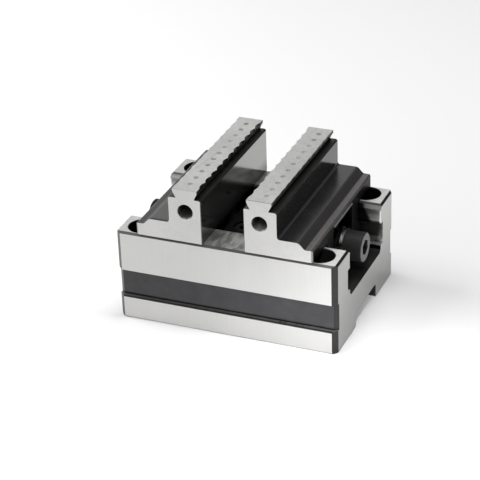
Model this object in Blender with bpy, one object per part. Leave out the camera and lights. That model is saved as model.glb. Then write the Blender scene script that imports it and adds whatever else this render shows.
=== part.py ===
"""Self centering vise: a milled steel base with a T-slotted channel, two mirror-image
jaws that ride in it, and one screw with a thread of each hand that moves them together.

Frame: the origin is the middle of the base's underside. X runs along the screw, towards
the end that the key is put into, Y across the jaws from front to back, and Z up.
Metres. The jaws stand half open, with their gripping faces JAW_OPENING apart.
"""

import math

import bmesh
import bpy
from mathutils import Matrix, Vector

MM = 0.001

# Base block
BASE_LENGTH = 80.0 * MM
BASE_WIDTH = 60.0 * MM
BASE_HEIGHT = 33.6 * MM
CORNER_CHAMFER = 1.75 * MM
TOP_CHAMFER = 0.45 * MM
BOTTOM_CHAMFER = 0.40 * MM
GROOVE_DEPTH = 1.3 * MM
GROOVE_BOTTOM = 8.6 * MM
GROOVE_TOP = 18.65 * MM
LEDGE_CHAMFER = 0.50 * MM
GROOVE_END_CHAMFER = 1.45 * MM
CHANNEL_HALF = 16.25 * MM
CHANNEL_FLOOR = 15.5 * MM
CHANNEL_MOUTH_CHAMFER = 1.7 * MM
CHANNEL_FLOOR_CHAMFER = 1.0 * MM
TSLOT_HALF = 18.5 * MM
TSLOT_BOTTOM = 18.0 * MM
TSLOT_TOP = 26.5 * MM
UNDER_SLOT_HALF = 10.9 * MM
UNDER_SLOT_DEPTH = 5.6 * MM
UNDER_SLOT_CHAMFER = 1.0 * MM

# Corner holes of the base
MOUNT_HOLE_X = 32.3 * MM
MOUNT_HOLE_Y = 23.9 * MM
COUNTERBORE_RADIUS = 4.95 * MM
COUNTERBORE_DEPTH = 7.0 * MM
MOUNT_HOLE_RADIUS = 2.15 * MM

# Screw
SCREW_Z = 25.7 * MM
SCREW_HALF_LENGTH = 39.8 * MM
THREAD_RADIUS = 6.0 * MM
THREAD_END = 33.4 * MM
THREAD_END_CHAMFER = 0.8 * MM
JOURNAL_RADIUS = 5.2 * MM
JOURNAL_CHAMFER = 0.4 * MM
NECK_RADIUS = 4.0 * MM
NECK_HALF = 6.2 * MM
KEY_ACROSS_FLATS = 5.0 * MM
KEY_DEPTH = 6.5 * MM

# Jaws, measured from the gripping face outwards
JAW_OPENING = 15.2 * MM
JAW_HALF_WIDTH = 29.9 * MM
SLIDE_GAP = 0.25 * MM
BLOCK_THICKNESS = 11.85 * MM
BLOCK_TOP = 50.1 * MM
BLOCK_CHAMFER = 0.5 * MM
STRIP_START = 1.15 * MM
STRIP_END = 10.25 * MM
STRIP_NECK_START = 2.25 * MM
STRIP_NECK_END = 9.05 * MM
STRIP_LAND = 52.4 * MM
STRIP_TOP = 53.35 * MM
FOOT_LENGTH = 24.2 * MM
FOOT_TOP = 40.4 * MM
FOOT_FILLET = 0.9 * MM
FOOT_FLAT_END = 19.3 * MM
STEP_TOP = 38.2 * MM
STEP_START = 21.4 * MM
STEP_EDGE_BREAK = 0.3 * MM
GUIDE_START = 6.0 * MM
GUIDE_NECK_HALF = 15.95 * MM
GUIDE_FLANGE_HALF = 18.2 * MM
GUIDE_BOTTOM = 18.3 * MM
GUIDE_FLANGE_TOP = 26.2 * MM
POCKET_DEPTH = 5.6 * MM
POCKET_TOP = 36.3 * MM
POCKET_HALF = 9.4 * MM
NUT_BORE_RADIUS = 6.4 * MM
STOP_HOLE_OFFSET = 5.7 * MM
STOP_HOLE_Z = 45.1 * MM
STOP_HOLE_RADIUS = 2.55 * MM
STOP_HOLE_MOUTH = 3.0 * MM
STOP_HOLE_DEPTH = 13.0 * MM

# Scalloped edges of the gripping strip
SCALLOP_PITCH = 5.0 * MM
SCALLOP_COUNT = 11
INNER_SCALLOP_RADIUS = 4.0 * MM
INNER_SCALLOP_DEPTH = 0.85 * MM
OUTER_SCALLOP_RADIUS = 10.5 * MM
OUTER_SCALLOP_DEPTH = 0.28 * MM
DIMPLE_RADIUS = 0.62 * MM
DIMPLE_DEPTH = 0.5 * MM
LEFT_DIMPLE_OFFSET = 5.6 * MM
RIGHT_DIMPLE_OFFSET = 6.6 * MM

# Centre bearing
BEARING_HALF_LENGTH = 5.9 * MM
BEARING_HALF_WIDTH = 15.9 * MM
BEARING_BOTTOM = 15.8 * MM
BEARING_SPLIT_GAP = 0.3 * MM
BEARING_TOP = 32.6 * MM
BEARING_BORE = 4.3 * MM
BEARING_CHAMFER = 0.8 * MM
CAP_SCREW_Y = 11.2 * MM
BLOCK_SCREW_Y = 6.5 * MM
M4_HEAD_RADIUS = 3.5 * MM
M4_HEAD_HEIGHT = 4.0 * MM
M4_RADIUS = 2.0 * MM
M4_KEY = 3.0 * MM
M4_KEY_DEPTH = 2.0 * MM
M4_HOLE = 2.25 * MM
M4_COUNTERBORE = 3.8 * MM
CAP_SEAT_Z = 28.0 * MM
CAP_SCREW_TIP_Z = 20.6 * MM
BLOCK_SEAT_Z = 10.2 * MM
BLOCK_SCREW_TIP_Z = 19.8 * MM
PIN_RADIUS = 1.5 * MM
PIN_HOLE = 1.7 * MM
PIN_X = 3.6 * MM
PIN_Y = 12.8 * MM
PIN_BOTTOM = 9.6 * MM
PIN_TOP = 18.8 * MM
GAP = 0.3 * MM


def clear_scene():
    for obj in list(bpy.data.objects):
        bpy.data.objects.remove(obj)
    for mesh in list(bpy.data.meshes):
        bpy.data.meshes.remove(mesh)


def material(name, colour, roughness, metallic=1.0):
    made = bpy.data.materials.new(name)
    made.use_nodes = True
    shader = made.node_tree.nodes["Principled BSDF"]
    shader.inputs["Base Color"].default_value = (*colour, 1.0)
    shader.inputs["Roughness"].default_value = roughness
    shader.inputs["Metallic"].default_value = metallic
    made.diffuse_color = (*colour, 1.0)
    return made


def link(name, bm, mat=None, origin=(0.0, 0.0, 0.0), smooth=False):
    """The finished mesh as an object whose origin is at the given point."""
    bmesh.ops.recalc_face_normals(bm, faces=bm.faces)
    mesh = bpy.data.meshes.new(name)
    bm.transform(Matrix.Translation(-Vector(origin)))
    bm.to_mesh(mesh)
    bm.free()
    obj = bpy.data.objects.new(name, mesh)
    obj.location = origin
    bpy.context.scene.collection.objects.link(obj)
    if mat:
        mesh.materials.append(mat)
    if smooth:
        mesh.shade_smooth()
        mesh.set_sharp_from_angle(angle=math.radians(32))
    return obj


def cut(obj, cutter, label, operation="DIFFERENCE"):
    cutter.hide_render = True
    cutter.display_type = "WIRE"
    modifier = obj.modifiers.new(label, "BOOLEAN")
    modifier.operation = operation
    modifier.solver = "EXACT"
    modifier.object = cutter
    return modifier


def add_prism(bm, outline, axis, low, high):
    """A straight prism: the outline's two numbers are the other two axes, in X, Y, Z order."""
    spots = {
        "X": lambda a, b, c: (c, a, b),
        "Y": lambda a, b, c: (a, c, b),
        "Z": lambda a, b, c: (a, b, c),
    }[axis]
    ends = [[bm.verts.new(spots(a, b, c)) for a, b in outline] for c in (low, high)]
    count = len(outline)
    bm.faces.new(ends[0])
    bm.faces.new(list(reversed(ends[1])))
    for i in range(count):
        j = (i + 1) % count
        bm.faces.new((ends[0][j], ends[0][i], ends[1][i], ends[1][j]))


def circle(radius, centre, segments, phase=0.0):
    return [
        (
            centre[0] + radius * math.cos(phase + 2 * math.pi * i / segments),
            centre[1] + radius * math.sin(phase + 2 * math.pi * i / segments),
        )
        for i in range(segments)
    ]


def add_turned(bm, stations, segments, place):
    """A turned solid. stations are (distance along the axis, radius) from end to end;
    place turns (along, across, up) into a point."""
    rings = []
    for along, radius in stations:
        rings.append(
            [
                bm.verts.new(
                    place(
                        along,
                        radius * math.cos(2 * math.pi * i / segments),
                        radius * math.sin(2 * math.pi * i / segments),
                    )
                )
                for i in range(segments)
            ]
        )
    bm.faces.new(rings[0])
    bm.faces.new(list(reversed(rings[-1])))
    for one, two in zip(rings, rings[1:]):
        for i in range(segments):
            j = (i + 1) % segments
            bm.faces.new((one[j], one[i], two[i], two[j]))


def along_x(z):
    return lambda along, across, up: (along, across, z + up)


def along_y(x, z):
    return lambda along, across, up: (x + across, along, z + up)


def along_z(x, y):
    return lambda along, across, up: (x + across, y + up, along)


def hexagon(across_flats, centre, phase):
    return circle(across_flats / math.sqrt(3), centre, 6, phase)


def mirrored(half):
    """An outline's right half and its mirror image, as one closed outline."""
    return half + [(-a, b) for a, b in reversed(half)]


def base_section():
    """Half of the base's cross section, from the underside slot round to the channel floor."""
    h, w = BASE_HEIGHT, BASE_WIDTH / 2
    return [
        (UNDER_SLOT_HALF, UNDER_SLOT_DEPTH),
        (UNDER_SLOT_HALF, UNDER_SLOT_CHAMFER),
        (UNDER_SLOT_HALF + UNDER_SLOT_CHAMFER, 0.0),
        (w - BOTTOM_CHAMFER, 0.0),
        (w, BOTTOM_CHAMFER),
        (w, GROOVE_BOTTOM - LEDGE_CHAMFER),
        (w - LEDGE_CHAMFER, GROOVE_BOTTOM),
        (w - GROOVE_DEPTH, GROOVE_BOTTOM),
        (w - GROOVE_DEPTH, GROOVE_TOP),
        (w, GROOVE_TOP),
        (w, h - TOP_CHAMFER),
        (w - TOP_CHAMFER, h),
        (CHANNEL_HALF + CHANNEL_MOUTH_CHAMFER, h),
        (CHANNEL_HALF, h - CHANNEL_MOUTH_CHAMFER),
        (CHANNEL_HALF, TSLOT_TOP),
        (TSLOT_HALF, TSLOT_TOP),
        (TSLOT_HALF, TSLOT_BOTTOM),
        (CHANNEL_HALF, TSLOT_BOTTOM),
        (CHANNEL_HALF, CHANNEL_FLOOR + CHANNEL_FLOOR_CHAMFER),
        (CHANNEL_HALF - CHANNEL_FLOOR_CHAMFER, CHANNEL_FLOOR),
    ]


def make_base(mat):
    length, height = BASE_LENGTH / 2, BASE_HEIGHT
    bm = bmesh.new()
    add_prism(bm, mirrored(base_section()), "X", -length, length)
    base = link("base_body", bm, mat)

    # The four upright corners and the end faces' top and bottom edges are chamfered.
    bm = bmesh.new()
    reach = 4 * MM
    for sx in (-1, 1):
        for sy in (-1, 1):
            x, y = sx * length, sy * BASE_WIDTH / 2
            add_prism(
                bm,
                [
                    (x - sx * (CORNER_CHAMFER + reach), y + sy * reach),
                    (x + sx * reach, y + sy * reach),
                    (x + sx * reach, y - sy * (CORNER_CHAMFER + reach)),
                ],
                "Z",
                -reach,
                height + reach,
            )
    cut(base, link("cut_corners", bm), "corners")

    # So are the corners that stand back between the lands, at the grooves' ends.
    bm = bmesh.new()
    inner = BASE_WIDTH / 2 - GROOVE_DEPTH
    for sx in (-1, 1):
        for sy in (-1, 1):
            x, y = sx * length, sy * inner
            over = 1.5 * MM
            add_prism(
                bm,
                [
                    (x - sx * (GROOVE_END_CHAMFER + over), y + sy * over),
                    (x + sx * over, y + sy * over),
                    (x + sx * over, y - sy * (GROOVE_END_CHAMFER + over)),
                ],
                "Z",
                GROOVE_BOTTOM,
                GROOVE_TOP,
            )
    cut(base, link("cut_groove_ends", bm), "groove_ends")
    bm = bmesh.new()
    for sx in (-1, 1):
        for z, sz, size in ((height, 1, TOP_CHAMFER), (0.0, -1, BOTTOM_CHAMFER)):
            x = sx * length
            add_prism(
                bm,
                [
                    (x - sx * (size + reach), z + sz * reach),
                    (x + sx * reach, z + sz * reach),
                    (x + sx * reach, z - sz * (size + reach)),
                ],
                "Y",
                -BASE_WIDTH,
                BASE_WIDTH,
            )
    cut(base, link("cut_end_edges", bm), "end_edges")

    # Counterbored corner holes, then the bearing's screw and pin holes.
    bm = bmesh.new()
    for sx in (-1, 1):
        for sy in (-1, 1):
            add_turned(
                bm,
                [
                    (-MM, MOUNT_HOLE_RADIUS),
                    (height - COUNTERBORE_DEPTH, MOUNT_HOLE_RADIUS),
                    (height - COUNTERBORE_DEPTH, COUNTERBORE_RADIUS),
                    (height + MM, COUNTERBORE_RADIUS),
                ],
                40,
                along_z(sx * MOUNT_HOLE_X, sy * MOUNT_HOLE_Y),
            )
    for sy in (-1, 1):
        add_turned(
            bm,
            [
                (UNDER_SLOT_DEPTH - MM, M4_COUNTERBORE),
                (BLOCK_SEAT_Z, M4_COUNTERBORE),
                (BLOCK_SEAT_Z, M4_HOLE),
                (CHANNEL_FLOOR + MM, M4_HOLE),
            ],
            24,
            along_z(0.0, sy * BLOCK_SCREW_Y),
        )
        add_turned(
            bm,
            [(PIN_BOTTOM - GAP, PIN_HOLE), (CHANNEL_FLOOR + MM, PIN_HOLE)],
            16,
            along_z(sy * PIN_X, sy * PIN_Y),
        )
    cut(base, link("cut_base_holes", bm), "holes")
    return base


def jaw_profile():
    """Outline of the jaw above the base, seen from the end, with X outwards from the gripping face."""
    bottom = BASE_HEIGHT + SLIDE_GAP
    outline = [
        (0.0, bottom),
        (0.0, BLOCK_TOP - BLOCK_CHAMFER),
        (BLOCK_CHAMFER, BLOCK_TOP),
        (STRIP_NECK_START, BLOCK_TOP),
        (STRIP_START, STRIP_LAND),
        (STRIP_START, STRIP_TOP),
        (STRIP_END, STRIP_TOP),
        (STRIP_END, STRIP_LAND),
        (STRIP_NECK_END, BLOCK_TOP),
        (BLOCK_THICKNESS - BLOCK_CHAMFER, BLOCK_TOP),
        (BLOCK_THICKNESS, BLOCK_TOP - BLOCK_CHAMFER),
    ]
    steps = 4
    for i in range(steps + 1):
        angle = math.pi + (math.pi / 2) * i / steps
        outline.append(
            (
                BLOCK_THICKNESS + FOOT_FILLET * (1 + math.cos(angle)),
                FOOT_TOP + FOOT_FILLET * (1 + math.sin(angle)),
            )
        )
    outline += [
        (FOOT_FLAT_END, FOOT_TOP),
        (STEP_START, STEP_TOP),
        (FOOT_LENGTH - STEP_EDGE_BREAK, STEP_TOP),
        (FOOT_LENGTH, STEP_TOP - STEP_EDGE_BREAK),
        (FOOT_LENGTH, bottom),
    ]
    return outline


def scallops(edge, outwards, radius, depth, steps):
    """Outline, seen from above, of what a row of round cutters takes off one edge of the strip."""
    row = []
    first = -(SCALLOP_COUNT - 1) / 2 * SCALLOP_PITCH
    centre = edge + outwards * (radius - depth)
    half = math.asin(min(1.0, SCALLOP_PITCH / 2 / radius))
    for k in range(SCALLOP_COUNT):
        y = first + k * SCALLOP_PITCH
        for i in range(steps + 1):
            if k and not i:
                continue
            angle = -half + 2 * half * i / steps
            row.append(
                (centre - outwards * radius * math.cos(angle), y + radius * math.sin(angle))
            )
    away = edge + outwards * 3 * MM
    return row + [(away, row[-1][1]), (away, row[0][1])]


def make_jaw(name, side, dimple_offset, mat):
    """One jaw. side is 1 for the right jaw, and -1 for the left one, its mirror image."""
    face = side * JAW_OPENING / 2
    origin = (face, 0.0, SCREW_Z)

    def x(offset):
        return face + side * offset

    bm = bmesh.new()
    add_prism(
        bm, [(x(a), b) for a, b in jaw_profile()], "Y", -JAW_HALF_WIDTH, JAW_HALF_WIDTH
    )
    jaw = link(name, bm, mat, origin)

    bm = bmesh.new()
    guide = mirrored(
        [
            (GUIDE_FLANGE_HALF, GUIDE_BOTTOM),
            (GUIDE_FLANGE_HALF, GUIDE_FLANGE_TOP),
            (GUIDE_NECK_HALF, GUIDE_FLANGE_TOP),
            (GUIDE_NECK_HALF, FOOT_TOP - 3 * MM),
        ]
    )
    low, high = sorted((x(GUIDE_START), x(FOOT_LENGTH)))
    add_prism(bm, guide, "X", low, high)
    cut(jaw, link(name + "_add_guide", bm, None, origin), "guide", "UNION")

    # Relief pocket in the guide's outer end, and the bore that the screw runs in.
    bm = bmesh.new()
    low, high = sorted((x(FOOT_LENGTH - POCKET_DEPTH), x(FOOT_LENGTH + 2 * MM)))
    add_prism(
        bm,
        [
            (-POCKET_HALF, GUIDE_BOTTOM - MM),
            (POCKET_HALF, GUIDE_BOTTOM - MM),
            (POCKET_HALF, POCKET_TOP),
            (-POCKET_HALF, POCKET_TOP),
        ],
        "X",
        low,
        high,
    )
    cut(jaw, link(name + "_cut_pocket", bm, None, origin), "pocket")
    bm = bmesh.new()
    low, high = sorted((x(GUIDE_START - 2 * MM), x(FOOT_LENGTH - POCKET_DEPTH + 2 * MM)))
    add_turned(
        bm, [(low, NUT_BORE_RADIUS), (high, NUT_BORE_RADIUS)], 48, along_x(SCREW_Z)
    )
    cut(jaw, link(name + "_cut_bore", bm, None, origin), "bore")

    # Scalloped edges.
    bm = bmesh.new()
    for edge, outwards, radius, depth, steps in (
        (STRIP_START, -1, INNER_SCALLOP_RADIUS, INNER_SCALLOP_DEPTH, 8),
        (STRIP_END, 1, OUTER_SCALLOP_RADIUS, OUTER_SCALLOP_DEPTH, 4),
    ):
        add_prism(
            bm,
            [(x(a), b) for a, b in scallops(edge, outwards, radius, depth, steps)],
            "Z",
            BLOCK_TOP + 0.2 * MM,
            STRIP_TOP + MM,
        )
    cut(jaw, link(name + "_cut_scallops", bm, None, origin), "scallops")

    # Dimples along the strip, and the tapped hole in each end face.
    bm = bmesh.new()
    for k in range(SCALLOP_COUNT):
        y = (k - (SCALLOP_COUNT - 1) / 2) * SCALLOP_PITCH
        over = 0.3 * MM
        slope = DIMPLE_RADIUS / DIMPLE_DEPTH
        add_turned(
            bm,
            [
                (STRIP_TOP - DIMPLE_DEPTH, 0.08 * MM),
                (STRIP_TOP + over, 0.08 * MM + (DIMPLE_DEPTH + over) * slope),
            ],
            10,
            along_z(x(dimple_offset), y),
        )
    for sy in (-1, 1):
        mouth = STOP_HOLE_MOUTH - STOP_HOLE_RADIUS
        add_turned(
            bm,
            [
                (sy * (JAW_HALF_WIDTH - STOP_HOLE_DEPTH - 1.4 * MM), 0.1 * MM),
                (sy * (JAW_HALF_WIDTH - STOP_HOLE_DEPTH), STOP_HOLE_RADIUS),
                (sy * (JAW_HALF_WIDTH - mouth), STOP_HOLE_RADIUS),
                (sy * (JAW_HALF_WIDTH + MM), STOP_HOLE_MOUTH + MM),
            ],
            32,
            along_y(x(STOP_HOLE_OFFSET), STOP_HOLE_Z),
        )
    cut(jaw, link(name + "_cut_holes", bm, None, origin), "holes")
    return jaw


def make_screw(mat):
    """The screw, plain at its threads' outer diameter, with a neck for the bearing at its middle."""
    half = [
        (NECK_HALF, NECK_RADIUS),
        (NECK_HALF, THREAD_RADIUS - THREAD_END_CHAMFER),
        (NECK_HALF + THREAD_END_CHAMFER, THREAD_RADIUS),
        (THREAD_END - THREAD_END_CHAMFER, THREAD_RADIUS),
        (THREAD_END, JOURNAL_RADIUS),
        (SCREW_HALF_LENGTH - JOURNAL_CHAMFER, JOURNAL_RADIUS),
        (SCREW_HALF_LENGTH, JOURNAL_RADIUS - JOURNAL_CHAMFER),
    ]
    bm = bmesh.new()
    stations = [(-a, r) for a, r in reversed(half)] + half
    add_turned(bm, stations, 48, along_x(SCREW_Z))
    origin = (0.0, 0.0, SCREW_Z)
    screw = link("lead_screw", bm, mat, origin, smooth=True)
    bm = bmesh.new()
    for side in (-1, 1):
        low, high = sorted(
            (side * (SCREW_HALF_LENGTH - KEY_DEPTH), side * (SCREW_HALF_LENGTH + MM))
        )
        add_prism(
            bm, hexagon(KEY_ACROSS_FLATS, (0.0, SCREW_Z), math.pi / 2), "X", low, high
        )
    cut(screw, link("cut_key_sockets", bm, None, origin), "key_sockets")
    return screw


def bearing_outline(low, high):
    w, c = BEARING_HALF_WIDTH, BEARING_CHAMFER
    return [(-w + c, low), (w - c, low), (w, low + c), (w, high - c), (w - c, high),
            (-w + c, high), (-w, high - c), (-w, low + c)]


def make_bearing(mat):
    """The two halves of the bearing that hold the screw's neck at the middle of the channel."""
    halves = []
    for name, low, high in (
        ("bearing_block", BEARING_BOTTOM, SCREW_Z - BEARING_SPLIT_GAP / 2),
        ("bearing_cap", SCREW_Z + BEARING_SPLIT_GAP / 2, BEARING_TOP),
    ):
        bm = bmesh.new()
        add_prism(
            bm,
            bearing_outline(low, high),
            "X",
            -BEARING_HALF_LENGTH,
            BEARING_HALF_LENGTH,
        )
        half = link(name, bm, mat)
        bm = bmesh.new()
        add_turned(
            bm,
            [
                (-BEARING_HALF_LENGTH - MM, BEARING_BORE),
                (BEARING_HALF_LENGTH + MM, BEARING_BORE),
            ],
            40,
            along_x(SCREW_Z),
        )
        cut(half, link(name + "_cut_bore", bm), "bore")
        halves.append(half)
    block, cap = halves
    bm = bmesh.new()
    for sy in (-1, 1):
        add_turned(
            bm,
            [(CAP_SCREW_TIP_Z - GAP, M4_HOLE), (SCREW_Z + MM, M4_HOLE)],
            20,
            along_z(0.0, sy * CAP_SCREW_Y),
        )
        add_turned(
            bm,
            [(BEARING_BOTTOM - MM, M4_HOLE), (BLOCK_SCREW_TIP_Z + GAP, M4_HOLE)],
            20,
            along_z(0.0, sy * BLOCK_SCREW_Y),
        )
        add_turned(
            bm,
            [(BEARING_BOTTOM - MM, PIN_HOLE), (PIN_TOP + GAP, PIN_HOLE)],
            16,
            along_z(sy * PIN_X, sy * PIN_Y),
        )
    cut(block, link("bearing_block_cut_holes", bm), "holes")
    bm = bmesh.new()
    for sy in (-1, 1):
        add_turned(
            bm,
            [
                (SCREW_Z - MM, M4_HOLE),
                (CAP_SEAT_Z, M4_HOLE),
                (CAP_SEAT_Z, M4_COUNTERBORE),
                (BEARING_TOP + MM, M4_COUNTERBORE),
            ],
            24,
            along_z(0.0, sy * CAP_SCREW_Y),
        )
    cut(cap, link("bearing_cap_cut_holes", bm), "holes")
    return halves


def make_cap_screw(name, x, y, seat, tip, mat):
    """A socket head screw on an upright axis. Its head is on the side of seat away from tip."""
    up = 1 if seat > tip else -1
    clear = seat + up * GAP
    top = clear + up * M4_HEAD_HEIGHT
    edge = 0.3 * MM
    bm = bmesh.new()
    add_turned(
        bm,
        [
            (tip, M4_RADIUS - edge),
            (tip + up * edge, M4_RADIUS),
            (clear, M4_RADIUS),
            (clear, M4_HEAD_RADIUS),
            (top - up * edge, M4_HEAD_RADIUS),
            (top, M4_HEAD_RADIUS - edge),
        ],
        24,
        along_z(x, y),
    )
    screw = link(name, bm, mat, (x, y, seat), smooth=True)
    bm = bmesh.new()
    low, high = sorted((top - up * M4_KEY_DEPTH, top + up * MM))
    add_prism(bm, hexagon(M4_KEY, (x, y), 0.0), "Z", low, high)
    cut(screw, link(name + "_cut_key", bm, None, (x, y, seat)), "key")
    return screw


def make_pin(name, x, y, mat):
    edge = 0.25 * MM
    bm = bmesh.new()
    add_turned(
        bm,
        [
            (PIN_BOTTOM, PIN_RADIUS - edge),
            (PIN_BOTTOM + edge, PIN_RADIUS),
            (PIN_TOP - edge, PIN_RADIUS),
            (PIN_TOP, PIN_RADIUS - edge),
        ],
        20,
        along_z(x, y),
    )
    return link(name, bm, mat, (x, y, PIN_BOTTOM), smooth=True)


def empty(name, location, parent=None):
    made = bpy.data.objects.new(name, None)
    made.empty_display_size = 0.01
    made.location = location
    bpy.context.scene.collection.objects.link(made)
    if parent:
        attach(made, parent)
    return made


def attach(child, parent):
    """Parents a piece, and leaves it where it is."""
    child.parent = parent
    child.matrix_parent_inverse = Matrix.Translation(-Vector(parent.location))


def main():
    clear_scene()
    ground = material("ground_steel", (0.60, 0.60, 0.59), 0.38)
    left_finish = material("left_jaw_oxide", (0.055, 0.053, 0.052), 0.30)
    right_finish = material("right_jaw_oxide", (0.055, 0.053, 0.052), 0.30)
    turned_steel = material("screw_steel", (0.16, 0.16, 0.165), 0.35)

    base = make_base(ground)
    root = empty("vise", (0.0, 0.0, 0.0))
    attach(base, root)

    left = make_jaw("left_jaw", -1, LEFT_DIMPLE_OFFSET, left_finish)
    right = make_jaw("right_jaw", 1, RIGHT_DIMPLE_OFFSET, right_finish)
    screw = make_screw(turned_steel)
    for piece in (left, right, screw):
        attach(piece, root)

    block, cap = make_bearing(material("bearing_steel", (0.20, 0.20, 0.20), 0.40))
    cap.data.materials.clear()
    cap.data.materials.append(material("bearing_cap_steel", (0.22, 0.22, 0.22), 0.40))
    for piece in (block, cap):
        attach(piece, root)
    for place, sy in (("front", -1), ("rear", 1)):
        piece = make_cap_screw(
            "cap_screw_" + place,
            0.0,
            sy * CAP_SCREW_Y,
            CAP_SEAT_Z,
            CAP_SCREW_TIP_Z,
            material("cap_screw_oxide_" + place, (0.04, 0.04, 0.04), 0.35),
        )
        attach(piece, root)
        piece = make_cap_screw(
            "block_screw_" + place,
            0.0,
            sy * BLOCK_SCREW_Y,
            BLOCK_SEAT_Z,
            BLOCK_SCREW_TIP_Z,
            material("block_screw_oxide_" + place, (0.04, 0.04, 0.04), 0.35),
        )
        attach(piece, root)
        piece = make_pin(
            "dowel_pin_" + place,
            sy * PIN_X,
            sy * PIN_Y,
            material("pin_steel_" + place, (0.62, 0.62, 0.62), 0.22),
        )
        attach(piece, root)

    # The cutters follow the piece that they shape.
    for obj in list(bpy.data.objects):
        for modifier in obj.modifiers:
            if modifier.type == "BOOLEAN":
                attach(modifier.object, root)


main()
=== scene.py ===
"""Looks of the self centering vise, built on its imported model. Metres, +Z up."""

import math

import bmesh
import bpy
from mathutils import Matrix, Vector


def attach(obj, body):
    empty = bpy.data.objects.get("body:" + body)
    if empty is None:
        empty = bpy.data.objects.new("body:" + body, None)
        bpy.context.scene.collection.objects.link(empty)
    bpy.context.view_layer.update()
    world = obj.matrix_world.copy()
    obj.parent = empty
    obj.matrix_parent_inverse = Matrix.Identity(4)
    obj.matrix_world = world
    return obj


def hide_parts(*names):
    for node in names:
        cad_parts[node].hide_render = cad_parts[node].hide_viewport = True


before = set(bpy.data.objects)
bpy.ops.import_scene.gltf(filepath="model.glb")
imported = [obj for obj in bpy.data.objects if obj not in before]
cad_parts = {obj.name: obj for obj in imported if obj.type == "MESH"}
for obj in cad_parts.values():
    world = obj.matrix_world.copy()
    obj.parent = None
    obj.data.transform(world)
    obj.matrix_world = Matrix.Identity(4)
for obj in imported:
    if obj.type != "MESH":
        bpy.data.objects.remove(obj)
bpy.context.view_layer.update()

MM = 0.001

# ---------------------------------------------------------------- sizes, as in the CAD
BASE_LENGTH, BASE_WIDTH, BASE_HEIGHT = 80.0 * MM, 60.0 * MM, 33.6 * MM
CORNER_CHAMFER = 1.75 * MM
TOP_CHAMFER, BOTTOM_CHAMFER = 0.74 * MM, 0.40 * MM
GROOVE_DEPTH, GROOVE_BOTTOM, GROOVE_TOP = 1.3 * MM, 8.6 * MM, 18.65 * MM
LEDGE_CHAMFER, GROOVE_END_CHAMFER = 0.50 * MM, 1.45 * MM
CHANNEL_HALF, CHANNEL_FLOOR = 16.25 * MM, 15.5 * MM
CHANNEL_MOUTH_CHAMFER, CHANNEL_FLOOR_CHAMFER = 1.7 * MM, 1.0 * MM
MOUTH_EDGE, PILLAR_EDGE = 0.6 * MM, 0.4 * MM
TSLOT_HALF, TSLOT_BOTTOM, TSLOT_TOP = 18.5 * MM, 18.0 * MM, 26.5 * MM
UNDER_SLOT_HALF, UNDER_SLOT_DEPTH = 10.9 * MM, 5.6 * MM
MOUNT_HOLE_X, MOUNT_HOLE_Y = 32.3 * MM, 23.9 * MM
COUNTERBORE_RADIUS, COUNTERBORE_DEPTH, MOUNT_HOLE_RADIUS = 4.95 * MM, 7.0 * MM, 2.15 * MM

SCREW_Z = 25.7 * MM
SCREW_HALF_LENGTH, THREAD_RADIUS, THREAD_END = 39.8 * MM, 6.0 * MM, 33.4 * MM
LEFT_END_CUT = 0.5 * MM
THREAD_ROOT, LEAD = 4.3 * MM, 3.0 * MM
JOURNAL_RADIUS, NECK_RADIUS, NECK_HALF = 5.2 * MM, 4.0 * MM, 6.2 * MM
KEY_ACROSS_FLATS, KEY_DEPTH = 5.0 * MM, 6.5 * MM

GRIP_X = 7.6 * MM
JAW_HALF_WIDTH = 29.9 * MM
JAW_BOTTOM = BASE_HEIGHT + 0.05 * MM
BLOCK_THICKNESS, BLOCK_TOP, BLOCK_CHAMFER = 11.85 * MM, 50.1 * MM, 0.5 * MM
STRIP_START, STRIP_END = 1.15 * MM, 10.25 * MM
STRIP_NECK_START, STRIP_NECK_END = 2.25 * MM, 9.05 * MM
STRIP_LAND, STRIP_TOP = 52.4 * MM, 53.35 * MM
FOOT_LENGTH, FOOT_TOP, FOOT_FILLET = 24.2 * MM, 40.4 * MM, 0.9 * MM
FOOT_FLAT_END, STEP_TOP, STEP_START = 19.3 * MM, 38.2 * MM, 21.4 * MM
GUIDE_START, FOOT_EDGE = 6.0 * MM, 0.5 * MM
GUIDE_NECK_HALF, GUIDE_FLANGE_HALF = 15.95 * MM, 18.2 * MM
GUIDE_BOTTOM, GUIDE_FLANGE_TOP = 18.3 * MM, 26.2 * MM
POCKET_DEPTH, POCKET_HALF, NUT_BORE_RADIUS = 5.6 * MM, 9.4 * MM, 6.4 * MM
POCKET_TOP = 36.3 * MM
STOP_HOLE_OFFSET, STOP_HOLE_Z, STOP_HOLE_DEPTH = 5.7 * MM, 45.1 * MM, 13.0 * MM
SCALLOP_PITCH, SCALLOP_COUNT = 5.0 * MM, 11
LEFT_SCALLOPS = ((4.4 * MM, 0.74 * MM), (9.6 * MM, 0.33 * MM))
RIGHT_SCALLOPS = ((6.2 * MM, 0.50 * MM), (16.0 * MM, 0.19 * MM))
DIMPLE_RADIUS, DIMPLE_DEPTH = 0.84 * MM, 0.4 * MM
LEFT_DIMPLE_OFFSET, RIGHT_DIMPLE_OFFSET = 5.6 * MM, 6.6 * MM


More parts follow.
